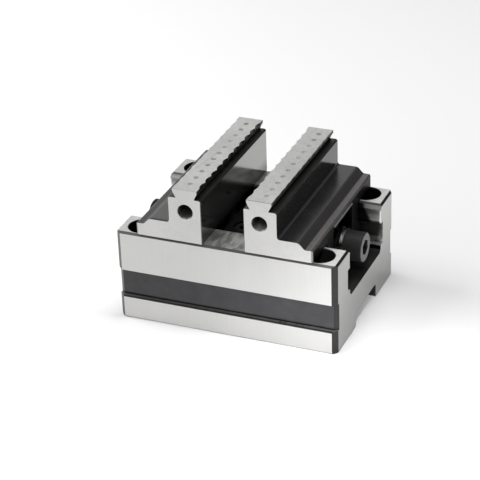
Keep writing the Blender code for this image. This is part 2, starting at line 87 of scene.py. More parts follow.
# ---------------------------------------------------------------- materials
class Nodes:
    """A small helper that adds and joins the nodes of one material."""

    def __init__(self, name):
        self.material = bpy.data.materials.new(name)
        self.material.use_nodes = True
        self.tree = self.material.node_tree
        self.shader = self.tree.nodes["Principled BSDF"]
        self.place = self.tree.nodes.new("ShaderNodeTexCoord")

    def add(self, kind, **values):
        node = self.tree.nodes.new(kind)
        for key, value in values.items():
            if hasattr(node, key):
                setattr(node, key, value)
            else:
                node.inputs[key.replace("_", " ")].default_value = value
        return node

    def join(self, source, target):
        self.tree.links.new(source, target)

    def stretched(self, scale):
        """The object's coordinates in millimetres, squeezed by the three numbers given."""
        mapping = self.tree.nodes.new("ShaderNodeMapping")
        mapping.inputs["Scale"].default_value = [1000.0 * s for s in scale]
        self.join(self.place.outputs["Object"], mapping.inputs["Vector"])
        return mapping.outputs["Vector"]

    def noise(self, scale, size=1.0, detail=3.0, rough=0.5):
        node = self.tree.nodes.new("ShaderNodeTexNoise")
        node.inputs["Scale"].default_value = size
        node.inputs["Detail"].default_value = detail
        node.inputs["Roughness"].default_value = rough
        self.join(self.stretched(scale), node.inputs["Vector"])
        return node.outputs["Fac"]

    def spread(self, value, low, high, lowest=0.3, highest=0.7):
        """Maps value from lowest..highest to low..high."""
        node = self.tree.nodes.new("ShaderNodeMapRange")
        node.inputs["From Min"].default_value = lowest
        node.inputs["From Max"].default_value = highest
        node.inputs["To Min"].default_value = low
        node.inputs["To Max"].default_value = high
        self.join(value, node.inputs["Value"])
        return node.outputs["Result"]

    def sum(self, one, two, operation="ADD"):
        node = self.tree.nodes.new("ShaderNodeMath")
        node.operation = operation
        for value, socket in ((one, node.inputs[0]), (two, node.inputs[1])):
            if isinstance(value, (int, float)):
                socket.default_value = value
            else:
                self.join(value, socket)
        return node.outputs[0]

    def mix(self, factor, one, two):
        node = self.tree.nodes.new("ShaderNodeMix")
        node.data_type = "RGBA"
        self.join(factor, node.inputs["Factor"])
        for colour, socket in ((one, node.inputs["A"]), (two, node.inputs["B"])):
            if isinstance(colour, tuple):
                socket.default_value = (*colour, 1.0)
            else:
                self.join(colour, socket)
        return node.outputs["Result"]

    def bump(self, height, distance, strength=1.0):
        node = self.tree.nodes.new("ShaderNodeBump")
        node.inputs["Strength"].default_value = strength
        node.inputs["Distance"].default_value = distance
        self.join(height, node.inputs["Height"])
        self.join(node.outputs["Normal"], self.shader.inputs["Normal"])

    def set(self, **values):
        for key, value in values.items():
            socket = self.shader.inputs[key.replace("_", " ")]
            if isinstance(value, (int, float)):
                socket.default_value = value
            else:
                self.join(value, socket)


def ground_steel(name, lines, tone=0.62, rough=0.36, soft=0.05, contrast=0.08):
    """Surface-ground steel. lines gives how far the grinding lines are squeezed on each axis."""
    n = Nodes(name)
    fine = n.noise(lines, 1.0, 4.0, 0.6)
    broad = n.noise((0.05, 0.05, 0.07), 1.0, 3.0, 0.55)
    both = n.sum(n.sum(fine, 0.55, "MULTIPLY"), n.sum(broad, 0.45, "MULTIPLY"))
    light = tuple(min(1.0, tone * (1.0 + contrast) * k) for k in (1.0, 0.995, 0.98))
    dark = tuple(tone * (1.0 - contrast) * k for k in (1.0, 0.995, 0.98))
    n.join(n.mix(n.spread(both, 0.0, 1.0, 0.35, 0.65), dark, light), n.shader.inputs["Base Color"])
    n.set(Metallic=1.0, Roughness=n.spread(both, rough - soft, rough + soft, 0.35, 0.65))
    n.bump(fine, 0.004 * MM, 0.35)
    return n.material


def shaded(material, terms, start, end, low, high):
    """Multiplies the colour by low..high as a sum of coordinates goes from start to end.

    terms gives the weights of |x|, x, y and z; all sizes are in millimetres.
    """
    tree = material.node_tree
    shader = tree.nodes["Principled BSDF"]
    source = shader.inputs["Base Color"].links[0].from_socket
    place = tree.nodes.new("ShaderNodeTexCoord")
    split = tree.nodes.new("ShaderNodeSeparateXYZ")
    tree.links.new(place.outputs["Object"], split.inputs[0])
    size = tree.nodes.new("ShaderNodeMath")
    size.operation = "ABSOLUTE"
    tree.links.new(split.outputs["X"], size.inputs[0])
    total = None
    for weight, socket in zip(terms, (size.outputs[0], *split.outputs)):
        if not weight:
            continue
        node = tree.nodes.new("ShaderNodeMath")
        node.operation = "MULTIPLY_ADD"
        node.inputs[1].default_value = weight * 1000.0
        node.inputs[2].default_value = 0.0
        tree.links.new(socket, node.inputs[0])
        if total is not None:
            tree.links.new(total, node.inputs[2])
        total = node.outputs[0]
    ramp = tree.nodes.new("ShaderNodeMapRange")
    ramp.interpolation_type = "SMOOTHSTEP"
    ramp.inputs["From Min"].default_value = start
    ramp.inputs["From Max"].default_value = end
    ramp.inputs["To Min"].default_value = low
    ramp.inputs["To Max"].default_value = high
    tree.links.new(total, ramp.inputs["Value"])
    scale = tree.nodes.new("ShaderNodeVectorMath")
    scale.operation = "SCALE"
    tree.links.new(source, scale.inputs[0])
    tree.links.new(ramp.outputs["Result"], scale.inputs["Scale"])
    tree.links.new(scale.outputs["Vector"], shader.inputs["Base Color"])


def oxide(name, tone=0.012, rough=0.2, soft=0.05, ior=1.6, tint=(1.0, 0.97, 0.94), grain=0.006):
    """Blackened steel: a thin dark coat over a milled or ground surface."""
    n = Nodes(name)
    broad = n.noise((0.16, 0.09, 0.16), 1.0, 5.0, 0.6)
    fine = n.noise((2.4, 0.25, 2.4), 1.0, 3.0, 0.6)
    light = tuple(tone * 1.35 * k for k in tint)
    dark = tuple(tone * 0.75 * k for k in tint)
    n.join(n.mix(n.spread(broad, 0.0, 1.0), dark, light), n.shader.inputs["Base Color"])
    mixed = n.sum(n.sum(broad, 0.6, "MULTIPLY"), n.sum(fine, 0.4, "MULTIPLY"))
    n.set(Metallic=0.0, IOR=ior, Roughness=n.spread(mixed, rough - soft, rough + soft, 0.35, 0.65))
    n.bump(fine, grain * MM, 0.4)
    return n.material


GROUND_LAND = ground_steel("ground_land", (1.6, 3.0, 0.05), tone=0.56, rough=0.33, contrast=0.03)
GROUND_END = ground_steel("ground_end", (3.0, 0.12, 2.2), tone=0.56, rough=0.37)
GROUND_TOP = ground_steel("ground_top", (0.45, 0.8, 0.6), tone=0.80, rough=0.38, soft=0.08, contrast=0.12)
CHANNEL_LAND = ground_steel("channel_land", (0.08, 2.0, 0.9), tone=0.86, rough=0.46, soft=0.1, contrast=0.55)
MOUTH_STEEL = ground_steel("mouth_steel", (0.10, 2.0, 2.0), tone=0.21, rough=0.46, contrast=0.2)
SLOT_STEEL = ground_steel("slot_steel", (0.3, 0.6, 0.6), tone=0.60, rough=0.55, contrast=0.5)
JAW_END = ground_steel("jaw_end", (0.9, 2.0, 2.6), tone=0.55, rough=0.36)
STRIP_FACE = ground_steel("strip_face", (1.1, 0.8, 1.0), tone=0.72, rough=0.42, contrast=0.12)
def streaked(material, scale, low, high, near, far):
    """Multiplies the colour by streaks of low..high, fading out as |x| goes from near to far millimetres."""
    tree = material.node_tree
    shader = tree.nodes["Principled BSDF"]
    source = shader.inputs["Base Color"].links[0].from_socket
    place = tree.nodes.new("ShaderNodeTexCoord")
    mapping = tree.nodes.new("ShaderNodeMapping")
    mapping.inputs["Scale"].default_value = [1000.0 * k for k in scale]
    tree.links.new(place.outputs["Object"], mapping.inputs["Vector"])
    noise = tree.nodes.new("ShaderNodeTexNoise")
    noise.inputs["Scale"].default_value = 1.0
    noise.inputs["Detail"].default_value = 4.0
    noise.inputs["Roughness"].default_value = 0.6
    tree.links.new(mapping.outputs["Vector"], noise.inputs["Vector"])
    streak = tree.nodes.new("ShaderNodeMapRange")
    for name, value in (("From Min", 0.38), ("From Max", 0.62), ("To Min", low - 1.0), ("To Max", high - 1.0)):
        streak.inputs[name].default_value = value
    tree.links.new(noise.outputs["Fac"], streak.inputs["Value"])
    split = tree.nodes.new("ShaderNodeSeparateXYZ")
    tree.links.new(place.outputs["Object"], split.inputs[0])
    size = tree.nodes.new("ShaderNodeMath")
    size.operation = "ABSOLUTE"
    tree.links.new(split.outputs["X"], size.inputs[0])
    reach = tree.nodes.new("ShaderNodeMapRange")
    for name, value in (("From Min", near * MM), ("From Max", far * MM), ("To Min", 1.0), ("To Max", 0.0)):
        reach.inputs[name].default_value = value
    tree.links.new(size.outputs[0], reach.inputs["Value"])
    factor = tree.nodes.new("ShaderNodeMath")
    factor.operation = "MULTIPLY_ADD"
    factor.inputs[2].default_value = 1.0
    tree.links.new(streak.outputs["Result"], factor.inputs[0])
    tree.links.new(reach.outputs["Result"], factor.inputs[1])
    scaled = tree.nodes.new("ShaderNodeVectorMath")
    scaled.operation = "SCALE"
    tree.links.new(source, scaled.inputs[0])
    tree.links.new(factor.outputs[0], scaled.inputs["Scale"])
    tree.links.new(scaled.outputs["Vector"], shader.inputs["Base Color"])


RING = ground_steel("screw_ring", (2.0, 1.2, 1.2), tone=0.10, rough=0.33)
THREAD_PAINTED_GLINT = ground_steel("thread_painted_glint", (3.0, 0.8, 0.8), tone=0.92, rough=0.40)
TAP_STEEL_PAINTED_LIGHT = ground_steel("tap_steel_painted_light", (0.8, 3.0, 0.8), tone=0.42, rough=0.42)

BASE_OXIDE = oxide("base_oxide", tone=0.025, rough=0.37, ior=1.47, tint=(0.97, 0.95, 1.06))
EDGE_OXIDE = oxide("edge_oxide", tone=0.009, rough=0.34, ior=1.44)
TOP_EDGE_OXIDE = oxide("top_edge_oxide", tone=0.055, rough=0.36, ior=1.50)
LIP_OXIDE = oxide("lip_oxide", tone=0.008, rough=0.42, ior=1.30)
BORE_OXIDE = oxide("bore_oxide", tone=0.010, rough=0.45, ior=1.45)
JAW_OXIDE = oxide("jaw_oxide", tone=0.008, rough=0.16, soft=0.03, ior=1.7, tint=(1.0, 0.93, 0.92))
GRIP_OXIDE = ground_steel("grip_oxide", (2.4, 0.25, 2.4), tone=0.355, rough=0.14, soft=0.02, contrast=0.05)
FOOT_OXIDE = oxide("foot_oxide", tone=0.014, rough=0.24, soft=0.05, ior=1.92, tint=(1.0, 0.94, 0.94))
# The left jaw's foot takes its own copies of the blackened steel, as painted light and shade: lighter on the flat,
# chamfer and rounding and darker on the step than the right jaw's.
LEFT_ROUND_PAINTED_LIGHT = oxide("left_round_painted_light", tone=0.060, rough=0.60, soft=0.05, ior=1.20, tint=(1.0, 0.97, 0.96))
LEFT_FOOT_PAINTED_LIGHT_AND_SHADE = ground_steel("left_foot_painted_light_and_shade", (2.4, 0.25, 2.4), tone=0.165, rough=0.30, contrast=0.05)
LEFT_CHAMFER_PAINTED_LIGHT = oxide("left_chamfer_painted_light", tone=0.048, rough=0.26, soft=0.05, ior=1.46, tint=(1.0, 0.94, 0.94))
STEP_OXIDE = oxide("step_oxide", tone=0.075, rough=0.30, soft=0.05, ior=2.0, tint=(1.0, 0.86, 0.84))
LEFT_STEP_PAINTED_SHADE = oxide("left_step_painted_shade", tone=0.016, rough=0.28, soft=0.05, ior=1.60, tint=(1.0, 0.94, 0.94))
LIP_STEEL = ground_steel("lip_steel", (2.0, 0.3, 2.0), tone=0.62, rough=0.40)
EDGE_GREY = ground_steel("edge_grey", (2.0, 2.0, 0.3), tone=0.26, rough=0.45)
JAW_BACK_OXIDE = oxide("jaw_back_oxide", tone=0.006, rough=0.45, ior=1.25)
NOTCH_OXIDE = oxide("notch_oxide", tone=0.018, rough=0.40, ior=1.45, tint=(1.0, 0.98, 0.88))
DIMPLE_OXIDE = oxide("dimple_oxide", tone=0.22, rough=0.60, ior=1.4, tint=(1.0, 0.99, 0.97))
SCREW_OXIDE = oxide("screw_oxide", tone=0.022, rough=0.48, ior=1.28)
EDGE_STEEL = ground_steel("edge_steel", (2.0, 2.0, 0.3), tone=0.80, rough=0.42)
LEDGE_OXIDE = oxide("ledge_oxide", tone=0.085, rough=0.30, ior=1.75)
BEARING_OXIDE_AND_PAINTED_SHADE = oxide("bearing_oxide_and_painted_shade", tone=0.003, rough=0.42, ior=1.22)
CHANNEL_OXIDE = oxide("channel_oxide", tone=0.020, rough=0.50, ior=1.30)
HARDWARE_OXIDE = oxide("hardware_oxide", tone=0.006, rough=0.36, ior=1.32)
PIN_STEEL = ground_steel("pin_steel", (1.5, 1.5, 0.3), tone=0.55, rough=0.25)

# Painted shadow of the jaw's foot: the channel's walls and mouth chamfer are bright only at their ends and dark
# inboard of a slanting line. The walls are also duller just under the mouth and darker along their lowest edge.
shaded(CHANNEL_LAND, (1.0, 0, 0, 0.474), 48.4, 50.0, 0.05, 1.0)
shaded(CHANNEL_LAND, (0, 0, 0, 1.0), 28.5, 31.0, 1.0, 0.40)
shaded(CHANNEL_LAND, (0, 0, 0, 1.0), 26.9, 27.7, 0.15, 1.0)
shaded(MOUTH_STEEL, (1.0, 0, 0, 0.474), 48.4, 50.0, 0.05, 1.0)
# Painted light and shade in the T-slot: its back walls are dark inboard and lighter towards the ends and towards the
# bottom, toned down again at the lowest corner of each end.
shaded(SLOT_STEEL, (1.0, 0, 0, -0.15), 34.6, 37.6, 0.10, 1.0)
shaded(SLOT_STEEL, (0, 0, 0, -1.0), -21.0, -19.4, 1.0, 4.0)
shaded(SLOT_STEEL, (1.0, 0, 0, -1.0), 17.6, 19.8, 1.0, 0.35)
# Painted shade: the channel's oxide is darker away from its ends.
shaded(CHANNEL_OXIDE, (1.0, 0, 0, 0), 30.0, 39.0, 0.35, 1.0)
# Painted light and shade on the top lands: lighter towards the right and front, darker towards the left, and painted
# shade between the jaws.
shaded(GROUND_TOP, (0, 1.0, -0.4, 0), 15.0, 40.0, 1.0, 1.15)
GROUND_TOP.node_tree.nodes["Principled BSDF"].inputs["Metallic"].default_value = 0.65
shaded(GROUND_TOP, (0, 1.0, 0, 0), -30.0, 20.0, 0.72, 1.0)
shaded(GROUND_TOP, (1.0, 0, 0, 0), 8.0, 18.0, 0.62, 1.0)
# Streaks of lighter and darker grinding marks between the jaws, partly standing in for painted reflections of the dark
# jaws.
streaked(GROUND_TOP, (0.42, 0.16, 0.5), 0.55, 1.45, 8.0, 12.0)
# Painted shade: the gripping faces are darker towards their bottom.
shaded(GRIP_OXIDE, (0, 0, 0, 1.0), 34.0, 40.0, 0.35, 1.0)
# Painted highlights: a narrow glint patch where the thread's last turn catches the light, and a painted highlight on
# the tapped holes at their mouths' lower side.
shaded(THREAD_PAINTED_GLINT, (1.0, 0, 0, 0), 31.95, 32.55, 0.03, 1.0)
shaded(THREAD_PAINTED_GLINT, (1.0, 0, 0, 0), 32.85, 33.25, 1.0, 0.10)
shaded(THREAD_PAINTED_GLINT, (0, 0, 0, 1.0), 28.0, 29.8, 0.03, 1.0)
shaded(THREAD_PAINTED_GLINT, (0, 0, 0, 1.0), 30.9, 31.5, 1.0, 0.05)
# Painted shade: a dark band along the front edge of the left jaw's foot flat.
shaded(LEFT_FOOT_PAINTED_LIGHT_AND_SHADE, (0, 0, 1.0, 0), -29.5, -28.2, 0.38, 1.0)
# Painted highlight: the tapped holes' walls are lighter below their middle.
shaded(TAP_STEEL_PAINTED_LIGHT, (0, 0, 0, 1.0), 43.1, 44.3, 1.0, 0.14)
GRIP_OXIDE.node_tree.nodes["Principled BSDF"].inputs["Metallic"].default_value = 0.92
# Painted shade: the base's end faces are darker towards the bottom.
shaded(GROUND_END, (0, 0, 0, 1.0), 3.0, 31.0, 0.60, 1.0)


# ---------------------------------------------------------------- mesh helpers
def place_mesh(name, bm):
    bmesh.ops.recalc_face_normals(bm, faces=bm.faces)
    mesh = bpy.data.meshes.new(name)
    bm.to_mesh(mesh)
    bm.free()
    obj = bpy.data.objects.new(name, mesh)
    bpy.context.scene.collection.objects.link(obj)
    return obj


def cut(obj, cutter, operation="DIFFERENCE"):
    modifier = obj.modifiers.new(cutter.name, "BOOLEAN")
    modifier.operation = operation
    modifier.solver = "EXACT"
    modifier.object = cutter
    return cutter


def bevel(obj, width, segments=2, angle=25.0):
    modifier = obj.modifiers.new("edges", "BEVEL")
    modifier.width = width
    modifier.segments = segments
    modifier.limit_method = "ANGLE"
    modifier.angle_limit = math.radians(angle)
    return modifier


def settle(obj, cutters):
    """Applies the modifiers, then removes the cutters."""
    bpy.context.view_layer.update()
    graph = bpy.context.evaluated_depsgraph_get()
    mesh = bpy.data.meshes.new_from_object(obj.evaluated_get(graph))
    old = obj.data
    obj.modifiers.clear()
    obj.data = mesh
    mesh.name = obj.name
    bpy.data.meshes.remove(old)
    for cutter in cutters:
        bpy.data.objects.remove(cutter)


def paint(obj, materials, choose, sharp=28.0):
    """Gives each face the material whose place choose(normal, centre, face) returns."""
    mesh = obj.data
    mesh.materials.clear()
    for material in materials:
        mesh.materials.append(material)
    for polygon in mesh.polygons:
        polygon.material_index = choose(polygon.normal, polygon.center, polygon)
    mesh.shade_smooth()
    mesh.set_sharp_from_angle(angle=math.radians(sharp))
    modifier = obj.modifiers.new("flat_faces", "WEIGHTED_NORMAL")
    modifier.keep_sharp = True
    modifier.weight = 100
    settle(obj, [])


def add_prism(bm, outline, axis, low, high):
    spots = {
        "X": lambda a, b, c: (c, a, b),
        "Y": lambda a, b, c: (a, c, b),
        "Z": lambda a, b, c: (a, b, c),
    }[axis]
    ends = [[bm.verts.new(spots(a, b, c)) for a, b in outline] for c in (low, high)]
    count = len(outline)
    bm.faces.new(ends[0])
    bm.faces.new(list(reversed(ends[1])))
    for i in range(count):
        j = (i + 1) % count
        bm.faces.new((ends[0][j], ends[0][i], ends[1][i], ends[1][j]))


def circle(radius, centre, segments, phase=0.0):
    return [
        (
            centre[0] + radius * math.cos(phase + 2 * math.pi * i / segments),
            centre[1] + radius * math.sin(phase + 2 * math.pi * i / segments),
        )
        for i in range(segments)
    ]


def add_turned(bm, stations, segments, place):
    rings = []
    for along, radius in stations:
        rings.append(
            [
                bm.verts.new(
                    place(
                        along,
                        radius * math.cos(2 * math.pi * i / segments),
                        radius * math.sin(2 * math.pi * i / segments),
                    )
                )
                for i in range(segments)
            ]
        )
    bm.faces.new(rings[0])
    bm.faces.new(list(reversed(rings[-1])))
    for one, two in zip(rings, rings[1:]):
        for i in range(segments):
            j = (i + 1) % segments
            bm.faces.new((one[j], one[i], two[i], two[j]))


def along_x(z):
    return lambda along, across, up: (along, across, z + up)


def along_y(x, z):
    return lambda along, across, up: (x + across, along, z + up)


def along_z(x, y):
    return lambda along, across, up: (x + across, y + up, along)


def arc(centre, radius, start, end, steps):
    """Points on an arc, with its two angles in degrees."""
    return [
        (
            centre[0] + radius * math.cos(math.radians(start + (end - start) * i / steps)),
            centre[1] + radius * math.sin(math.radians(start + (end - start) * i / steps)),
        )
        for i in range(steps + 1)
    ]


def rounded(before, corner, after, radius, steps=5):
    """Points that round the corner between two straight lines."""
    corner = Vector(corner)
    one = (Vector(before) - corner).normalized()
    two = (Vector(after) - corner).normalized()
    half = one.angle(two) / 2
    reach = radius / math.tan(half)
    centre = corner + (one + two).normalized() * radius / math.sin(half)
    start, end = corner + one * reach - centre, corner + two * reach - centre
    turn = start.angle_signed(end)
    points = []
    for i in range(steps + 1):
        angle = -turn * i / steps
        points.append(
            (
                centre.x + start.x * math.cos(angle) - start.y * math.sin(angle),
                centre.y + start.x * math.sin(angle) + start.y * math.cos(angle),
            )
        )
    return points


def mirrored(half):
    return half + [(-a, b) for a, b in reversed(half)]


# ---------------------------------------------------------------- base
def base_section():
    h, w = BASE_HEIGHT, BASE_WIDTH / 2
    inner_fillet, foot_round = 1.1 * MM, 1.0 * MM
    s = UNDER_SLOT_HALF
    half = arc((s - inner_fillet, UNDER_SLOT_DEPTH - inner_fillet), inner_fillet, 90, 0, 5)
    half += arc((s + foot_round, foot_round), foot_round, 180, 270, 5)
    half += [
        (w - BOTTOM_CHAMFER, 0.0),
        (w, BOTTOM_CHAMFER),
        (w, GROOVE_BOTTOM - LEDGE_CHAMFER),
        (w - LEDGE_CHAMFER, GROOVE_BOTTOM),
        (w - GROOVE_DEPTH - 0.25 * MM, GROOVE_BOTTOM),
        (w - GROOVE_DEPTH - 0.25 * MM, GROOVE_BOTTOM + 0.5 * MM),
        (w - GROOVE_DEPTH, GROOVE_BOTTOM + 0.8 * MM),
        (w - GROOVE_DEPTH, GROOVE_TOP),
        (w - 0.12 * MM, GROOVE_TOP),
        (w, GROOVE_TOP + 0.12 * MM),
        (w, h - TOP_CHAMFER),
        (w - TOP_CHAMFER, h),
        (CHANNEL_HALF + CHANNEL_MOUTH_CHAMFER, h),
        (CHANNEL_HALF + CHANNEL_MOUTH_CHAMFER - MOUTH_EDGE, h - MOUTH_EDGE),
        (CHANNEL_HALF, h - CHANNEL_MOUTH_CHAMFER),
        (CHANNEL_HALF, TSLOT_TOP + 0.15 * MM),
        (CHANNEL_HALF + 0.15 * MM, TSLOT_TOP),
        (TSLOT_HALF, TSLOT_TOP),
        (TSLOT_HALF, TSLOT_BOTTOM),
        (CHANNEL_HALF + 0.15 * MM, TSLOT_BOTTOM),
        (CHANNEL_HALF, TSLOT_BOTTOM - 0.15 * MM),
        (CHANNEL_HALF, CHANNEL_FLOOR + CHANNEL_FLOOR_CHAMFER),
        (CHANNEL_HALF - CHANNEL_FLOOR_CHAMFER, CHANNEL_FLOOR),
    ]
    return mirrored(half)


def make_base():
    length, height = BASE_LENGTH / 2, BASE_HEIGHT
    bm = bmesh.new()
    add_prism(bm, base_section(), "X", -length, length)
    base = place_mesh("vise_base", bm)
    cutters = []

    bm = bmesh.new()
    reach = 4 * MM
    for sx in (-1, 1):
        for sy in (-1, 1):
            x, y = sx * length, sy * BASE_WIDTH / 2
            add_prism(
                bm,
                [
                    (x - sx * (CORNER_CHAMFER + reach), y + sy * reach),
                    (x + sx * reach, y + sy * reach),
                    (x + sx * reach, y - sy * (CORNER_CHAMFER + reach)),
                ],
                "Z",
                -reach,
                height + reach,
            )
    cutters.append(cut(base, place_mesh("cut_corners", bm)))

    bm = bmesh.new()
    inner = BASE_WIDTH / 2 - GROOVE_DEPTH
    over = 1.5 * MM
    for sx in (-1, 1):
        for sy in (-1, 1):
            x, y = sx * length, sy * inner
            add_prism(
                bm,
                [
                    (x - sx * (GROOVE_END_CHAMFER + over), y + sy * over),
                    (x + sx * over, y + sy * over),
                    (x + sx * over, y - sy * (GROOVE_END_CHAMFER + over)),
                ],
                "Z",
                GROOVE_BOTTOM,
                GROOVE_TOP,
            )
    cutters.append(cut(base, place_mesh("cut_groove_ends", bm)))

    bm = bmesh.new()
    for sx in (-1, 1):
        for z, sz, size in ((height, 1, TOP_CHAMFER), (0.0, -1, BOTTOM_CHAMFER)):
            x = sx * length
            add_prism(
                bm,
                [
                    (x - sx * (size + reach), z + sz * reach),
                    (x + sx * reach, z + sz * reach),
                    (x + sx * reach, z - sz * (size + reach)),
                ],
                "Y",
                -BASE_WIDTH,
                BASE_WIDTH,
            )
    cutters.append(cut(base, place_mesh("cut_end_edges", bm)))

    # The channel's upright end edges are broken.
    bm = bmesh.new()
    for sx in (-1, 1):
        for sy in (-1, 1):
            x, y = sx * length, sy * CHANNEL_HALF
            add_prism(
                bm,
                [
                    (x - sx * (PILLAR_EDGE + MM), y - sy * MM),
                    (x + sx * MM, y - sy * MM),
                    (x + sx * MM, y + sy * (PILLAR_EDGE + MM)),
                ],
                "Z",
                TSLOT_TOP + 0.2 * MM,
                height - CHANNEL_MOUTH_CHAMFER - 0.1 * MM,
            )
    cutters.append(cut(base, place_mesh("cut_pillar_edges", bm)))

    bm = bmesh.new()
    mouth = 0.2 * MM
    for sx in (-1, 1):
        for sy in (-1, 1):
            add_turned(
                bm,
                [
                    (-MM, MOUNT_HOLE_RADIUS + MM + 0.3 * MM),
                    (0.3 * MM, MOUNT_HOLE_RADIUS),
                    (height - COUNTERBORE_DEPTH, MOUNT_HOLE_RADIUS),
                    (height - COUNTERBORE_DEPTH, COUNTERBORE_RADIUS),
                    (height - mouth, COUNTERBORE_RADIUS),
                    (height + MM, COUNTERBORE_RADIUS + mouth + MM),
                ],
                72,
                along_z(sx * MOUNT_HOLE_X, sy * MOUNT_HOLE_Y),
            )
    for sy in (-1, 1):
        add_turned(
            bm,
            [
                (UNDER_SLOT_DEPTH - MM, 3.8 * MM),
                (10.2 * MM, 3.8 * MM),
                (10.2 * MM, 2.25 * MM),
                (CHANNEL_FLOOR + MM, 2.25 * MM),
            ],
            48,
            along_z(0.0, sy * 6.5 * MM),
        )
        add_turned(
            bm,
            [(9.3 * MM, 1.7 * MM), (CHANNEL_FLOOR + MM, 1.7 * MM)],
            24,
            along_z(sy * 3.6 * MM, sy * 12.8 * MM),
        )
    cutters.append(cut(base, place_mesh("cut_base_holes", bm)))
    settle(base, cutters)

    def choose(n, c, _):
        x, y, z = abs(c.x), abs(c.y), c.z
        if abs(n.y) > 0.999 and y > 29.9 * MM:
            return 1
        if abs(n.x) > 0.999 and x > 39.9 * MM:
            return 2
        if n.z > 0.999 and z > 33.5 * MM:
            return 3
        if n.z < -0.999 and z < 0.1 * MM:
            return 3
        if abs(n.y) > 0.999 and 16.0 * MM < y < 16.5 * MM:
            return 4
        if n.z > 0.999 and abs(z - TSLOT_BOTTOM) < 0.05 * MM:
            return 3
        if abs(n.x) > 0.4 and abs(n.y) > 0.4 and CHANNEL_HALF < y < 17.0 * MM:
            return 7
        if n.z > 0.6 and 0.4 < abs(n.y) < 0.8 and CHANNEL_HALF < y < CHANNEL_HALF + CHANNEL_MOUTH_CHAMFER - MOUTH_EDGE:
            return 8
        if n.z > 0.999 and abs(z - GROOVE_BOTTOM) < 0.05 * MM and y > 28.0 * MM:
            return 9
        for sx in (-1, 1):
            for sy in (-1, 1):
                if math.hypot(c.x - sx * MOUNT_HOLE_X, c.y - sy * MOUNT_HOLE_Y) < COUNTERBORE_RADIUS + 0.05 * MM:
                    return 5
        if abs(n.y) > 0.999 and abs(y - TSLOT_HALF) < 0.05 * MM:
            return 12
        if y < UNDER_SLOT_HALF + 0.95 * MM and 0.1 * MM < z < UNDER_SLOT_DEPTH + 0.1 * MM and abs(n.x) < 0.5:
            return 10
        if y < TSLOT_HALF + 0.01 * MM and CHANNEL_FLOOR - 0.1 * MM < z < TSLOT_TOP + 0.3 * MM:
            return 10
        if n.z > 0.5 and n.z < 0.9 and y > 29.0 * MM and z < 12.0 * MM:
            return 11
        if y > 28.0 * MM and z < 9.4 * MM and z > GROOVE_BOTTOM and y < BASE_WIDTH / 2 - GROOVE_DEPTH:
            return 11
        if abs(n.x) + abs(n.y) > 1.3 and abs(n.z) < 0.1 and y > 27.0 * MM:
            return 6
        if n.z > 0.5 and z > 33.0 * MM:
            return 13 if abs(n.x) < 0.3 else 6
        return 0

    paint(
        base,
        [
            BASE_OXIDE,
            GROUND_LAND,
            GROUND_END,
            GROUND_TOP,
            CHANNEL_LAND,
            BORE_OXIDE,
            EDGE_OXIDE,
            EDGE_STEEL,
            MOUTH_STEEL,
            LEDGE_OXIDE,
            CHANNEL_OXIDE,
            LIP_OXIDE,
            SLOT_STEEL,
            TOP_EDGE_OXIDE,
        ],
        choose,
    )
    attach(base, "base")
    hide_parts("base_body")
    return base


# ---------------------------------------------------------------- jaws
def jaw_profile():
    r = FOOT_FILLET
    outline = [
        (0.0, JAW_BOTTOM),
        (0.0, BLOCK_TOP - BLOCK_CHAMFER),
        (BLOCK_CHAMFER, BLOCK_TOP),
        (STRIP_NECK_START, BLOCK_TOP),
        (STRIP_START, STRIP_LAND),
        (STRIP_START, STRIP_TOP),
        (STRIP_END, STRIP_TOP),
        (STRIP_END, STRIP_LAND),
        (STRIP_NECK_END, BLOCK_TOP),
        (BLOCK_THICKNESS - BLOCK_CHAMFER, BLOCK_TOP),
        (BLOCK_THICKNESS, BLOCK_TOP - BLOCK_CHAMFER),
    ]
    outline += arc((BLOCK_THICKNESS + r, FOOT_TOP + r), r, 180, 270, 8)
    outline += rounded((FOOT_FLAT_END - 3 * MM, FOOT_TOP), (FOOT_FLAT_END, FOOT_TOP), (STEP_START, STEP_TOP), 1.6 * MM)
    outline += rounded((FOOT_FLAT_END, FOOT_TOP), (STEP_START, STEP_TOP), (FOOT_LENGTH, STEP_TOP), 1.2 * MM)
    outline += [
        (FOOT_LENGTH - FOOT_EDGE, STEP_TOP),
        (FOOT_LENGTH, STEP_TOP - FOOT_EDGE),
        (FOOT_LENGTH, JAW_BOTTOM),
    ]
    return outline


def scallops(edge, outwards, radius, depth, steps):
    row = []
    first = -(SCALLOP_COUNT - 1) / 2 * SCALLOP_PITCH
    centre = edge + outwards * (radius - depth)
    half = math.asin(min(1.0, SCALLOP_PITCH / 2 / radius))
    for k in range(SCALLOP_COUNT):
        y = first + k * SCALLOP_PITCH
        for i in range(steps + 1):
            if k and not i:
                continue
            angle = -half + 2 * half * i / steps
            row.append((centre - outwards * radius * math.cos(angle), y + radius * math.sin(angle)))
    away = edge + outwards * 3 * MM
    return row + [(away, row[-1][1]), (away, row[0][1])]


